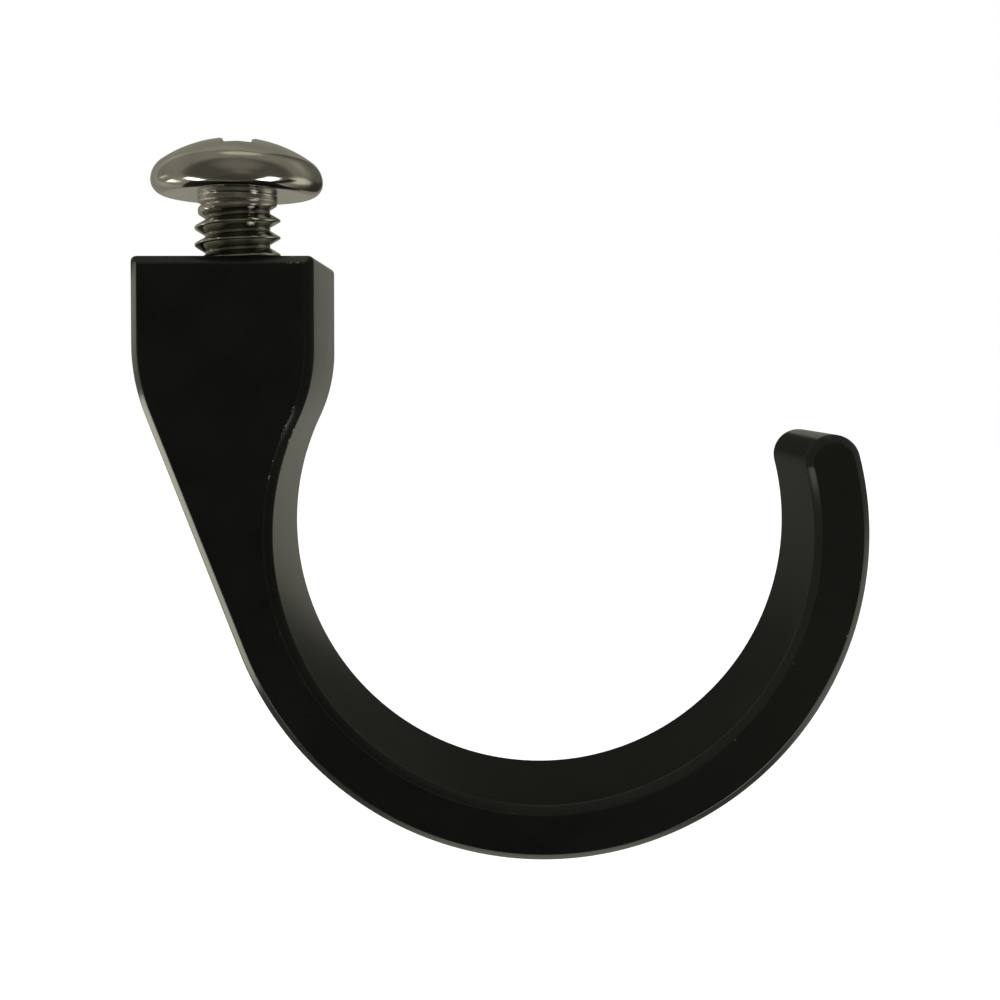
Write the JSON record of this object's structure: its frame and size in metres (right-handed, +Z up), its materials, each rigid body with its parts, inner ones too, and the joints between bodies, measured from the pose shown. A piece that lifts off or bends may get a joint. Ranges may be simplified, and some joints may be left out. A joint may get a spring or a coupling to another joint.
{
  "type": "headphone hook",
  "caption": "J-shaped hook milled from black anodised aluminium bar, held under a desk edge or panel by a pan-head screw threaded into its top block.",
  "frame": {"origin": "on the screw's axis, in the plane of the block's top face, which is where the clamped panel's underside rests", "axes": "+Z up along the screw, out of the tapped hole; +X from the block towards the hook's mouth; +Y from the front face to the back face"},
  "size_m": [0.0518, 0.0126, 0.0516],
  "materials": {
    "black_anodised": "satin black anodised",
    "stainless_steel": "bright stainless steel"
  },
  "bodies": {
    "hook": {"hook_body": "black_anodised"},
    "screw": {"clamp_screw": "stainless_steel"}
  },
  "joints": [
    {"name": "screw_travel", "type": "slide", "parent": "hook", "child": "screw", "axis": [0, 0, 1], "range_m": [-0.00381, 0.00381]}
  ]
}
